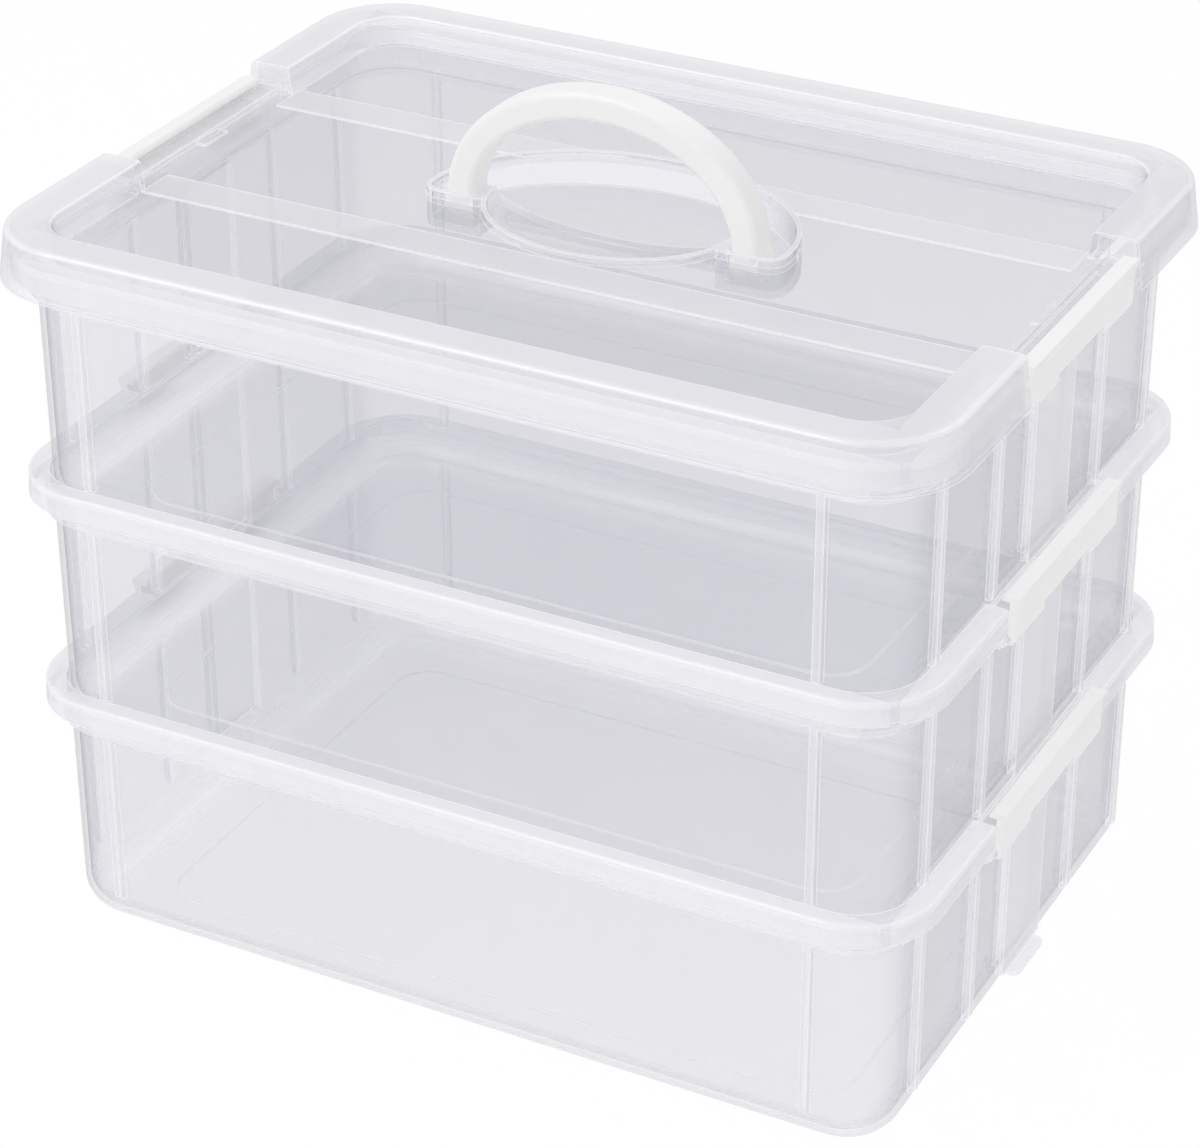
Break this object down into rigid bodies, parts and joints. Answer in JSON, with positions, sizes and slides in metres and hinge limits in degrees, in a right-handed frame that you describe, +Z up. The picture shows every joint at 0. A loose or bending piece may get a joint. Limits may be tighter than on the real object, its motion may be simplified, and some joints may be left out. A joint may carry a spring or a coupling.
{
  "type": "stackable storage box",
  "caption": "Clear stacking storage box: nesting trays under a clear lid, held to one another by hinged end latches, with an arched carry handle that folds into the lid.",
  "frame": {"origin": "middle of the footprint, on the surface the box stands on", "axes": "+X along the long side towards one latched end, +Y to the rear where the handle folds, +Z up"},
  "size_m": [0.3578, 0.2658, 0.3169],
  "materials": {
    "clear_plastic": "clear polypropylene, smooth with a faint haze",
    "clear_lid_plastic": "clear polypropylene, smooth with a frosted band along the middle",
    "white_plastic": "white polypropylene, satin"
  },
  "bodies": {
    "bottom_tray": {"bottom_tray": "clear_plastic"},
    "middle_tray": {"middle_tray": "clear_plastic"},
    "top_tray": {"top_tray": "clear_plastic"},
    "lid": {"lid": "clear_lid_plastic"},
    "handle": {"handle": "white_plastic"},
    "bottom_latch_left": {"bottom_latch_left": "white_plastic"},
    "bottom_latch_right": {"bottom_latch_right": "white_plastic"},
    "middle_latch_left": {"middle_latch_left": "white_plastic"},
    "middle_latch_right": {"middle_latch_right": "white_plastic"},
    "top_latch_left": {"top_latch_left": "white_plastic"},
    "top_latch_right": {"top_latch_right": "white_plastic"}
  },
  "joints": [
    {"name": "middle_tray_lift", "type": "slide", "parent": "bottom_tray", "child": "middle_tray", "axis": [0, 0, 1], "range_m": [0, 0.022]},
    {"name": "top_tray_lift", "type": "slide", "parent": "middle_tray", "child": "top_tray", "axis": [0, 0, 1], "range_m": [0, 0.022]},
    {"name": "lid_lift", "type": "slide", "parent": "top_tray", "child": "lid", "axis": [0, 0, 1], "range_m": [0, 0.022]},
    {"name": "handle_fold", "type": "hinge", "parent": "lid", "child": "handle", "pos_m": [0, 0, 0.265], "axis": [-1, 0, 0], "range_deg": [0, 90]},
    {"name": "bottom_latch_right_swing", "type": "hinge", "parent": "bottom_tray", "child": "bottom_latch_right", "pos_m": [0.1734, 0, 0.0866], "axis": [0, 1, 0], "range_deg": [0, 158]},
    {"name": "bottom_latch_left_swing", "type": "hinge", "parent": "bottom_tray", "child": "bottom_latch_left", "pos_m": [-0.1734, 0, 0.0866], "axis": [0, -1, 0], "range_deg": [0, 158]},
    {"name": "middle_latch_right_swing", "type": "hinge", "parent": "middle_tray", "child": "middle_latch_right", "pos_m": [0.1734, 0, 0.1716], "axis": [0, 1, 0], "range_deg": [0, 158]},
    {"name": "middle_latch_left_swing", "type": "hinge", "parent": "middle_tray", "child": "middle_latch_left", "pos_m": [-0.1734, 0, 0.1716], "axis": [0, -1, 0], "range_deg": [0, 158]},
    {"name": "top_latch_right_swing", "type": "hinge", "parent": "top_tray", "child": "top_latch_right", "pos_m": [0.1734, 0, 0.2566], "axis": [0, 1, 0], "range_deg": [0, 158]},
    {"name": "top_latch_left_swing", "type": "hinge", "parent": "top_tray", "child": "top_latch_left", "pos_m": [-0.1734, 0, 0.2566], "axis": [0, -1, 0], "range_deg": [0, 158]}
  ],
  "couplings": [
    {"joint": "bottom_latch_right_swing", "follows": "middle_tray_lift", "rad_per_m": 125},
    {"joint": "bottom_latch_left_swing", "follows": "middle_tray_lift", "rad_per_m": 125},
    {"joint": "middle_latch_right_swing", "follows": "top_tray_lift", "rad_per_m": 125},
    {"joint": "middle_latch_left_swing", "follows": "top_tray_lift", "rad_per_m": 125},
    {"joint": "top_latch_right_swing", "follows": "lid_lift", "rad_per_m": 125},
    {"joint": "top_latch_left_swing", "follows": "lid_lift", "rad_per_m": 125}
  ]
}
